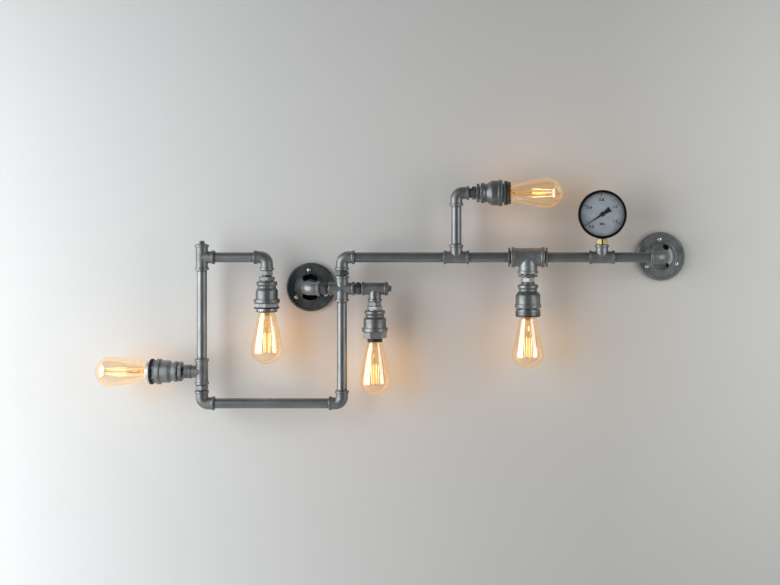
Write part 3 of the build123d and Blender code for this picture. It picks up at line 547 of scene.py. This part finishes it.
# The collar of lamp 3 is painted lighter, a painted highlight for its lit facets.
collar_steel = cast_finish(
    "collar_steel", 0.2, 0.3, 0.5, 0.4, 0.9, [(LAMP_3_COLLAR, 31 * MM, (0.5, 0.5, 0.49))]
)
bushing_steel = cast_finish(
    "bushing_steel", 0.19, 0.28, 0.5, 0.4, 0.9, [(LAMP_3_BUSHING, 20 * MM, (0.45, 0.45, 0.44))]
)
nipple_steel = cast_finish(
    "nipple_steel", 0.14, 0.22, 0.42, 0.38, 0.9, [(LAMP_5_NIPPLE, 20 * MM, (0.5, 0.5, 0.48))]
)
bright_zinc = plain_finish("bright_zinc", (0.72, 0.72, 0.7), 0.3, 0.95)
ring_alloy = ring_finish(
    "ring_alloy", (0.34, 0.35, 0.35), (0.44, 0.45, 0.45), RING_TONES, RING_SLOTS, slot_shade=(0.02, 0.02, 0.022)
)
black_fibre = plain_finish("black_fibre", (0.012, 0.012, 0.013), 0.5)
black_enamel = plain_finish("black_enamel", (0.003, 0.003, 0.0035), 0.5, grain=0.05, gloss=0.12)
dial_enamel = plain_finish("dial_enamel", (0.235, 0.255, 0.28), 0.5, grain=0.02)
pointer_black = plain_finish("pointer_black", (0.004, 0.004, 0.004), 0.5, gloss=0.15)
mark_black = plain_finish("mark_black", (0.006, 0.006, 0.007), 0.5, gloss=0.15)
# the brass carries painted shade down the front corner of the gauge stem
brass = brass_finish(
    "brass", (0.2, 0.155, 0.075), (0.3, 0.24, 0.115), (0.03, 0.02, 0.008), STEM_CORNER, shade_streak=1.7 * MM
)
cap_metal = plain_finish("cap_metal", (0.8, 0.66, 0.42), 0.3, 1.0)
wire_nickel = plain_finish("wire_nickel", (0.5, 0.42, 0.3), 0.35, 0.9)
screw_zinc = plain_finish("screw_zinc", (0.8, 0.8, 0.78), 0.25, 0.95)
amber_glass = amber_finish(
    "amber_glass", tint=(0.965, 0.895, 0.78), rim_tint=(0.93, 0.8, 0.62),
    glow_tone=(0.7, 0.44, 0.2), rim_glow_tone=(1.0, 0.47, 0.14), glow=0.065,
)
stem_glass = stem_finish("stem_glass", (0.97, 0.78, 0.45), glow_tone=(1.0, 0.55, 0.15), glow=0.06)
window_glass = window_finish("window_glass", (0.97, 0.99, 1.0))
filament_glow = glow_finish("filament_glow", (1.0, 0.82, 0.5), 1.0)

NODE_FINISHES = {
    "left_wall_flange": flange_dark,
    "right_wall_flange": flange_mid,
    "flange_elbows": cast_light,
    "pendant_tee": cast_light,
    "lamp_holder_2": cast_light,
    "hex_nipples": nipple_steel,
    "flange_nipples": nipple_steel,
    "reducing_bushings": bushing_steel,
    "socket_collars": collar_steel,
    "insulating_washers": black_fibre,
    "lock_rings": ring_alloy,
    "socket_inserts": black_fibre,
    "socket_contacts": brass,
    "gauge_bezel": black_enamel,
    "gauge_case": black_enamel,
    "gauge_dial": dial_enamel,
    "gauge_pointer": pointer_black,
    "gauge_stem": brass,
    "gauge_movement": brass,
    "sector_gear": brass,
    "gauge_window": window_glass,
}
BULB_FINISHES = {"glass": amber_glass, "cap": cap_metal, "contact": bright_zinc, "filaments": filament_glow}


def node_finish(name):
    """Finish of a CAD node: its own, or that of its kind."""
    if name in NODE_FINISHES:
        return NODE_FINISHES[name]
    if name.startswith("bulb_"):
        return BULB_FINISHES[name.rsplit("_", 1)[-1]]
    if name.endswith("_pipe"):
        return pipe_grey
    return holder_grey if name.startswith("lamp_holder") else cast_grey


for name, obj in nodes.items():
    for material_slot in obj.material_slots:
        material_slot.material = node_finish(name)

# ---- Screw threads beside the fittings ----
PIPE_PITCH = INCH / 14
THREAD_ROOT, THREAD_CREST = 10.1, 10.62  # radii
SCREWED_IN = 13.0  # length of a pipe inside its fitting
PIPE_RUNOUT = 3.2  # thread that shows at each end of a pipe


def thread_run(start, way, length):
    """Thread ridge from a point in millimetres, along a direction."""
    ridge = screw_ridge(THREAD_ROOT, THREAD_CREST, PIPE_PITCH, length)
    return moved(ridge, axis_frame([s * MM for s in start], way))


def pipe_runs():
    """Start, direction and length of the thread at both ends of every pipe, from the pipe's box."""
    for name in nodes:
        if name.endswith("_pipe"):
            low, high = (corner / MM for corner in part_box(name))
            way = max((RIGHT, UP), key=lambda d: (high - low).dot(d))
            middle = (low + high) / 2
            half = (high - low).dot(way) / 2 - SCREWED_IN
            for side in (way, -way):
                yield middle + side * half, -side, PIPE_RUNOUT


def nipple_runs():
    """The same for every nipple, whose thread shows over its whole length between two fittings."""
    for number, outlet in LAMP_OUTLETS.items():
        yield outlet, LAMP_WAYS[number], NIPPLE_LENGTHS[number]
    lamp_tee_foot = LAMP_OUTLETS[2][2] - REACH
    yield (LOOP_LEFT, PIPE_DEPTH, lamp_tee_foot), DOWN, lamp_tee_foot - (LOOP_BOTTOM + REACH)
    yield (FLANGE_ELBOW_SIDE, PIPE_DEPTH, 0), RIGHT, LOOP_RIGHT - REACH - FLANGE_ELBOW_SIDE
    yield (LOOP_RIGHT + REACH, PIPE_DEPTH, 0), RIGHT, SIDE_TEE - LOOP_RIGHT - 2 * REACH
    yield (LOOP_RIGHT, PIPE_DEPTH, REACH), UP, MAIN_ROW - 2 * REACH
    for centre in FLANGE_CENTRES:
        yield (centre.x, FLANGE_HUB, centre.z), FRONT, FLANGE_HUB - FLANGE_ELBOW


piece(
    "screw_threads", joined([thread_run(*run) for run in [*pipe_runs(), *nipple_runs()]]), nipple_steel,
    sharp=50,
)

# ---- Wall screws, seated on the flanges' recessed faces ----
SCREW_CIRCLE, SCREW_SEAT = 37.0, -9.2  # radius of the circle that they stand on, and the face they seat on
SCREW_ANGLES = (95, 215, 335)
SCREW_SHANK, SCREW_HEAD, HEAD_HEIGHT = 2.3, 4.5, 3.3  # radii and height
RECESS_LENGTH, RECESS_WIDTH, RECESS_DEPTH = 6.0, 1.1, 1.3


def screw_head():
    """Round head with a cross recess, standing on zero along +Z, with a stub of its shank."""
    dome = curve((SCREW_HEAD, 0.8), (4.2, 2.5), (2.4, HEAD_HEIGHT), (0, HEAD_HEIGHT))
    head = lathe([(0, -1.5), (SCREW_SHANK, -1.5), (SCREW_SHANK, 0), (SCREW_HEAD, 0)] + dome, 48)
    bar_height = 2.4
    bar_centre = (0, 0, HEAD_HEIGHT - RECESS_DEPTH + bar_height / 2)
    for size in ((RECESS_LENGTH, RECESS_WIDTH, bar_height), (RECESS_WIDTH, RECESS_LENGTH, bar_height)):
        head = cut_out(head, block(size, bar_centre))
    return head


def screw_place(centre, angle):
    """Place of a screw on its flange, each with its recess turned another way."""
    turn = math.radians(angle)
    seat = centre + Vector((math.cos(turn), 0, math.sin(turn))) * SCREW_CIRCLE + Vector((0, SCREW_SEAT, 0))
    return axis_frame(seat * MM, FRONT, 1.7 * turn)


piece(
    "wall_screws",
    joined([moved(screw_head(), screw_place(c, a)) for c in FLANGE_CENTRES for a in SCREW_ANGLES]),
    screw_zinc,
)

# ---- Gauge dial: scale, numbers and unit ----
dial_low, dial_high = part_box("gauge_dial")
dial_centre = (dial_low + dial_high) / 2
SCALE_START, SCALE_SWEEP = 213.7, 242.7  # degrees, clockwise from the zero mark
DIVISIONS = 40
LONG_TICK, MIDDLE_TICK, SHORT_TICK = (6.2, 1.4), (4.2, 0.8), (2.8, 0.4)  # length and width
TICK_RADIUS, ARC_RADIUS, ARC_WIDTH = 44.2, 44.3, 0.7
PRINT = 0.04  # thickness of the printed marks
PRINT_GAP = 0.01  # between the dial and the marks
STROKE = 0.22  # how much the strokes of the print are thickened
NUMBERS, NUMBER_SIZE, NUMBER_RADIUS = ("0.4", "0.8", "1.2", "1.6"), 8.6, 30.5
ZERO_PLACE = (-22.5, -26.0)  # clear of the pointer
UNIT_SIZE, UNIT_PLACE = 6.4, (0, -20.5)


def scale_angle(share):
    """Angle of a share of the scale, in radians from the dial's X axis."""
    return math.radians(SCALE_START - SCALE_SWEEP * share)


def dial_ticks():
    """Flat bars along the scale, longest at the numbers."""
    for i in range(DIVISIONS + 1):
        length, width = LONG_TICK if i % 10 == 0 else MIDDLE_TICK if i % 5 == 0 else SHORT_TICK
        tick = block((length, width, PRINT), (TICK_RADIUS - length / 2, 0, PRINT / 2 + PRINT_GAP))
        yield moved(tick, Matrix.Rotation(scale_angle(i / DIVISIONS), 4, "Z"))


def scale_arc():
    """Thin arc that joins the ticks."""
    low, high = ARC_RADIUS - ARC_WIDTH / 2, ARC_RADIUS + ARC_WIDTH / 2
    strip = outline([(low, PRINT_GAP), (high, PRINT_GAP), (high, PRINT), (low, PRINT)], closed=True)
    last_mark = moved(strip, Matrix.Rotation(scale_angle(1), 4, "Z"))
    return capped(spun(last_mark, math.radians(SCALE_SWEEP), 120))


def lettering(text, size, x, y):
    """Printed text about a point of the dial."""
    data = bpy.data.curves.new("lettering", "FONT")
    data.body, data.size = text, size * MM
    data.extrude = PRINT / 2 * MM
    data.offset = STROKE * MM
    data.align_x, data.align_y = "CENTER", "CENTER"
    obj = bpy.data.objects.new("lettering", data)
    mesh = bpy.data.meshes.new_from_object(obj)
    bm = bmesh.new()
    bm.from_mesh(mesh)
    bpy.data.objects.remove(obj)
    bpy.data.meshes.remove(mesh)
    return moved(bm, Matrix.Translation((x * MM, y * MM, (PRINT / 2 + PRINT_GAP) * MM)))


def dial_print():
    """Everything that is printed on the dial."""
    yield from dial_ticks()
    yield scale_arc()
    yield lettering("0.0", NUMBER_SIZE, *ZERO_PLACE)
    for i, number in enumerate(NUMBERS, 1):
        turn = scale_angle(i / len(NUMBERS))
        yield lettering(number, NUMBER_SIZE, NUMBER_RADIUS * math.cos(turn), NUMBER_RADIUS * math.sin(turn))
    yield lettering("MPa", UNIT_SIZE, *UNIT_PLACE)


dial_face = upright_frame((dial_centre.x, dial_low.y, dial_centre.z))
piece("dial_marks", joined(dial_print()), mark_black, dial_face, sharp=20)

# ---- Counterweight blade of the pointer, on the side away from the scale ----
TAIL = ((3.5, 2.2), (19.5, 6.0))  # distance from the pivot and half width, at both ends of the blade
BLADE_BACK = 2.04  # from the front of the hub to the back of this blade
BLADE_THICKNESS, BLADE_EDGE = 0.5, 0.12


def pointer_tail():
    """Flat blade that widens away from the pivot."""
    (near, narrow), (far, wide) = TAIL
    corners = ((near, -narrow), (far, -wide), (far, wide), (near, narrow))
    bm = bmesh.new()
    face = bm.faces.new([bm.verts.new((x * MM, y * MM, 0)) for x, y in corners])
    risen = bmesh.ops.extrude_face_region(bm, geom=[face])["geom"]
    top = [v for v in risen if isinstance(v, bmesh.types.BMVert)]
    bmesh.ops.translate(bm, vec=(0, 0, BLADE_THICKNESS * MM), verts=top)
    bmesh.ops.bevel(
        bm, geom=bm.edges[:], offset=BLADE_EDGE * MM, affect="EDGES", segments=2, profile=0.5, material=-1
    )
    return moved(bm, Matrix.Rotation(scale_angle(0) + math.pi, 4, "Z"))


hub_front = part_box("gauge_pointer")[0].y
tail_place = upright_frame((dial_centre.x, hub_front + BLADE_BACK * MM, dial_centre.z))
piece("pointer_counterweight", pointer_tail(), pointer_black, tail_place, "gauge_pointer", sharp=20)

# ---- Bulbs: envelope, stem, filaments, wires and threaded cap, upwards from the tip ----
MOUNT_TURNS = {1: 40, 2: 20, 3: 75, 4: 10, 5: 110}  # how each bulb's filaments stand, in degrees
GLASS_WALL = 0.8
BELLY, SHOULDER, THROAT = (32.5, 27.5), (27.23, 64.55), (20.35, 95.7)  # radius and height
COLLAR, NECK = (15.5, 111.7), (12.4, 114.5)
NECK_END = 119.0
FILAMENTS, FILAMENT = 4, 1.4  # their number and diameter
FILAMENT_FOOT, FILAMENT_TOP = (7.0, 24), (9.0, 66)  # distance from the axis and height
LOWER_HUB, UPPER_HUB, WIRE = 23.4, 71, 0.9  # heights where the wires meet, and their diameter
CAP_PITCH = INCH / 7
CAP_ROOT, CAP_CREST = 12.5, 13.2  # radii of its thread
CAP_THREAD_FOOT, CAP_THREAD_LENGTH = 118.0, 16.2


def envelope(inset):
    """Glass profile from the tip to the end of the neck, moved inwards by inset."""

    def at(radius, height):
        """Point of the profile, moved inwards."""
        return radius - inset, height

    belly = BELLY[0] - inset
    tip = curve((0, inset), (0.44 * belly, 0.5 + inset), (belly, 15.95 + inset / 2), at(*BELLY), count=30)
    sides = [
        curve(at(*BELLY), at(32.5, 39.85), at(29.43, 52.2), at(*SHOULDER)),
        curve(at(*SHOULDER), at(25.38, 74.93), at(22.93, 85.32), at(*THROAT), count=10),
        curve(at(*THROAT), at(19.02, 101.03), at(16.99, 106.37), at(*COLLAR), count=8),
        curve(at(*COLLAR), at(15.1, 113.1), at(12.4, 113.1), at(*NECK), count=8),
    ]
    return tip + [point for side in sides for point in side[1:]] + [at(NECK[0], NECK_END)]


def bulb_envelope():
    """Thin blown glass, open at the end of its neck."""
    return lathe(envelope(0) + envelope(GLASS_WALL)[::-1], 128)


def bulb_stem():
    """Flared glass foot, pressed block and the rod that carries the filaments."""
    flare = curve((4.25, 99), (4.4, 104), (8, 108), (11.5, 118))
    foot = lathe([(0, 92), (4.25, 92), (4.25, 99)] + flare + [(0, 118)], 48)
    swell = curve((0, 66), (2.6, 66), (3.2, 73), (6.3, 79))
    press = lathe([(0, 66)] + swell + [(6.5, 84), (6.4, 91), (5.6, 93.5), (0, 94)], 40)
    bmesh.ops.scale(press, vec=(1, 0.6, 1), verts=press.verts)
    carrier = lathe([(0, 22.5), (1.1, 22.9), (1.5, 24), (1.5, UPPER_HUB), (0, UPPER_HUB)], 24)
    return joined([foot, press, carrier])


def filament_ends():
    """Lower and upper end of each filament."""
    for i in range(FILAMENTS):
        turn = 2 * math.pi * i / FILAMENTS
        out = Vector((math.cos(turn), math.sin(turn), 0))
        yield [out * radius + UP * height for radius, height in (FILAMENT_FOOT, FILAMENT_TOP)]


def bulb_filaments():
    """Long straight filaments that lean outwards."""
    return joined([rod(low, high, FILAMENT) for low, high in filament_ends()])


def bulb_wires():
    """Wires from the carrier to both ends of each filament."""
    wires = []
    for low, high in filament_ends():
        wires += [rod(UP * UPPER_HUB, high, WIRE, 8), rod(UP * LOWER_HUB, low, WIRE, 8)]
    return joined(wires)


def bulb_cap():
    """Thin threaded brass cup with a rolled rim, narrowing to the insulator."""
    rim = [(12.45, 114.5), (13.0, 114.5), (13.2, 114.8), (13.2, 116.4), (12.6, 117.4)]
    top = [(12.6, 134.4), (13.0, 135.2), (12.4, 135.9), (9.3, 136.4)]
    inside = [(9.0, 136.2), (12.0, 135.5), (12.45, 134.9)]
    shell = lathe(rim + top + inside, closed=True)
    ridge = screw_ridge(CAP_ROOT, CAP_CREST, CAP_PITCH, CAP_THREAD_LENGTH, 64)
    return joined([shell, moved(ridge, Matrix.Translation((0, 0, CAP_THREAD_FOOT * MM)))])


def bulb_tip(number):
    """Middle of the end of a bulb's glass that is away from its cap."""
    low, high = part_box(f"bulb_{number}_glass")
    way = LAMP_WAYS[number]
    return (low + high) / 2 + way * (abs((high - low).dot(way)) / 2)


for number, way in LAMP_WAYS.items():
    place = axis_frame(bulb_tip(number), -way, math.radians(MOUNT_TURNS[number]))
    body = f"bulb_{number}"
    glass = piece(f"{body}_envelope", bulb_envelope(), amber_glass, place, body, 60)
    stem = piece(f"{body}_stem", bulb_stem(), stem_glass, place, body, 60)
    piece(f"{body}_hot_filaments", bulb_filaments(), filament_glow, place, body, 60)
    piece(f"{body}_wires", bulb_wires(), wire_nickel, place, body)
    cap = piece(f"{body}_screw_cap", bulb_cap(), cap_metal, place, body, 50)
    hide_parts(f"{body}_glass")
    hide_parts(f"{body}_filaments")
    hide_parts(f"{body}_cap")

# ---- Wall and floor ----
WALL_PLACE = 0.6 * MM
WALL_SIZE, FLOOR_SIZE = (9.0, 6.0), (9.0, 7.0)
STAGE_MIDDLE = 0.2
FLOOR_HEIGHT = -1.45
WALL_ACROSS, WALL_UP = (-0.65, 1.0), (-0.65, 0.6)  # from where to where the wall's tone, painted with light and shade, changes
# Painted light and shade in the wall's tone: lightest at the left, dimmest about the gauge and lighter
# again at the right end, as the lamps light it, and darker upwards, most at the left.
PAINTED_LIGHT_ACROSS = (
    (0.0, (0.91, 0.926, 0.935)), (0.22, (0.79, 0.818, 0.818)), (0.4, (0.73, 0.736, 0.733)),
    (0.64, (0.677, 0.677, 0.668)), (0.78, (0.658, 0.657, 0.632)), (1.0, (0.71, 0.714, 0.695)),
)
PAINTED_SHADE_UPWARDS = ((0.0, 1.0), (0.15, 0.955), (0.5, 0.9), (0.84, 0.824), (1.0, 0.766))
PAINTED_SHADE_SHARE_ACROSS = ((0.0, 1.0), (0.5, 0.5), (1.0, 0.1))  # in full at the left, hardly at all at the right
FLANGE_HOLLOW = 47 * MM  # radius of painted shade on the wall behind a flange, seen through the flange's openings
# painted shade behind the left and the right flange: near black and mid grey
HOLLOW_SHADES = ((0.012, 0.012, 0.013), (0.45, 0.45, 0.45))
SHADE_SPOTS = ((765.5, 86.5), (771.5, 47.0))  # painted shade at the right ends of the right flange's openings, seen through them
SPOT_RADIUS, SPOT_SHADE = 6 * MM, (0.04, 0.04, 0.04)
NEAR = 26 * MM  # distance under which the wall is open to rays from the light's own back


def wall_finish():
    """Pale plaster with painted light and shade in its tone, open from behind and to rays that start close
    to it, so the light's back is lit.
    """
    f = Finish("wall_plaster")
    place = f.node("ShaderNodeSeparateXYZ", Vector=f.place).outputs

    def share(axis, start, end):
        """How far a point is from one place to another along an axis, from zero to one."""
        made = f.node("ShaderNodeMapRange", Value=place[axis], From_Min=start, From_Max=end)
        return made.outputs["Result"]

    # painted light and shade: the wall's tone across it and upwards
    across = share("X", *WALL_ACROSS)
    darker = f.ramp(share("Z", *WALL_UP), *PAINTED_SHADE_UPWARDS)
    tone = f.blend(f.ramp(across, *PAINTED_SHADE_SHARE_ACROSS), f.ramp(across, *PAINTED_LIGHT_ACROSS), darker, "MULTIPLY")
    # painted shade: the wall behind each flange is darkened, for the shade in its hollow
    for centre, hollow_shade in zip(FLANGE_CENTRES, HOLLOW_SHADES):
        middle = (centre.x * MM, WALL_PLACE, centre.z * MM)
        tone = f.blend(f.within(middle, FLANGE_HOLLOW), tone, hollow_shade)
    # painted shade at the ends of the right flange's openings
    for x, z in SHADE_SPOTS:
        tone = f.blend(f.within((x * MM, WALL_PLACE, z * MM), SPOT_RADIUS), tone, SPOT_SHADE)
    plaster = f.bump(f.noise(160.0), 0.04, 0.4)
    f.set(Base_Color=tone, Roughness=0.9, Normal=plaster, Specular_IOR_Level=0.1)
    path = f.tree.nodes.new("ShaderNodeLightPath").outputs
    near = f.maths("LESS_THAN", path["Ray Length"], NEAR)
    unseen = f.maths("SUBTRACT", 1.0, path["Is Camera Ray"])
    behind = f.tree.nodes.new("ShaderNodeNewGeometry").outputs["Backfacing"]
    f.let_through(f.maths("MAXIMUM", behind, f.maths("MULTIPLY", near, unseen)))
    return f.material


def stage_plane(name, size, matrix, material):
    """Flat sheet that the light stands before, which isn't part of it."""
    bm = bmesh.new()
    bmesh.ops.create_grid(bm, x_segments=1, y_segments=1, size=0.5)
    bmesh.ops.scale(bm, vec=(*size, 1), verts=bm.verts)
    bmesh.ops.transform(bm, matrix=matrix, verts=bm.verts)
    mesh = bpy.data.meshes.new(name)
    bm.to_mesh(mesh)
    bm.free()
    mesh.materials.append(material)
    obj = bpy.data.objects.new(name, mesh)
    bpy.context.scene.collection.objects.link(obj)


wall_middle = (STAGE_MIDDLE, WALL_PLACE, FLOOR_HEIGHT + WALL_SIZE[1] / 2)
stage_plane("wall", WALL_SIZE, upright_frame(wall_middle), wall_finish())
floor_middle = (STAGE_MIDDLE, WALL_PLACE - FLOOR_SIZE[1] / 2, FLOOR_HEIGHT)
floor_pale = plain_finish("floor_pale", (0.6, 0.6, 0.58), 0.8)
stage_plane("floor", FLOOR_SIZE, Matrix.Translation(floor_middle), floor_pale)

# ---- Lamps and world ----
LEFT_BOX_PLACE, LEFT_BOX_TARGET, LEFT_BOX_SIZE = (-1.66, -1.09, 0.1), (-0.05, PIPE_PLANE, 0.0), (2.2, 2.2)
RIGHT_BOX_PLACE, RIGHT_BOX_TARGET, RIGHT_BOX_SIZE = (1.5, -0.8, 0.12), (0.3, PIPE_PLANE, 0.0), (0.7, 1.3)
LEFT_BOX_RADIANCE, RIGHT_BOX_RADIANCE = 3.4, 2.4
WHITE, WARM_WHITE = (1.0, 1.0, 1.0), (1.0, 0.985, 0.96)
GLOW_TONE = (1.0, 0.52, 0.1)
GLOW_POWERS = {1: 0.14, 2: 0.08, 3: 0.16, 4: 0.25, 5: 0.18}
GLOW_SIZE = 20 * MM
GLOW_SHIFT = 10 * MM  # from the middle of the glass towards its tip
SKY_TONE, SKY_STRENGTH = (0.92, 0.96, 1.0), 0.13


def add_lamp(name, kind, centre, power, tone):
    """Lamp that lights the scene but isn't seen itself."""
    data = bpy.data.lights.new(name, kind)
    data.energy = power
    data.color = tone
    lamp = bpy.data.objects.new(name, data)
    bpy.context.scene.collection.objects.link(lamp)
    lamp.location = centre
    lamp.visible_camera = False
    return lamp


def softbox(name, centre, target, size, radiance, tone):
    """Large soft lamp that faces a point, as bright as a surface of the given radiance."""
    width, height = size
    lamp = add_lamp(name, "AREA", centre, radiance * math.pi * width * height, tone)
    lamp.data.shape = "RECTANGLE"
    lamp.data.size, lamp.data.size_y = width, height
    lamp.rotation_euler = (Vector(target) - Vector(centre)).to_track_quat("-Z", "Y").to_euler()


def bulb_glow(number):
    """Weak warm lamp inside a bulb, for the light that its filaments throw on the wall."""
    low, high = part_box(f"bulb_{number}_glass")
    middle = (low + high) / 2 + LAMP_WAYS[number] * GLOW_SHIFT
    glow = add_lamp(f"glow_{number}", "POINT", middle, GLOW_POWERS[number], GLOW_TONE)
    glow.data.shadow_soft_size = GLOW_SIZE
    glow.visible_glossy = False
    glow.visible_transmission = False


def studio_world():
    """Faint cool light from all sides."""
    world = bpy.data.worlds.new("studio")
    bpy.context.scene.world = world
    world.use_nodes = True
    sky = world.node_tree.nodes["Background"]
    sky.inputs["Color"].default_value = (*SKY_TONE, 1)
    sky.inputs["Strength"].default_value = SKY_STRENGTH


softbox("left_softbox", LEFT_BOX_PLACE, LEFT_BOX_TARGET, LEFT_BOX_SIZE, LEFT_BOX_RADIANCE, WHITE)
softbox("right_softbox", RIGHT_BOX_PLACE, RIGHT_BOX_TARGET, RIGHT_BOX_SIZE, RIGHT_BOX_RADIANCE, WARM_WHITE)
for number in LAMP_WAYS:
    bulb_glow(number)
studio_world()

bpy.context.scene.view_settings.view_transform = "Standard"
add_camera()
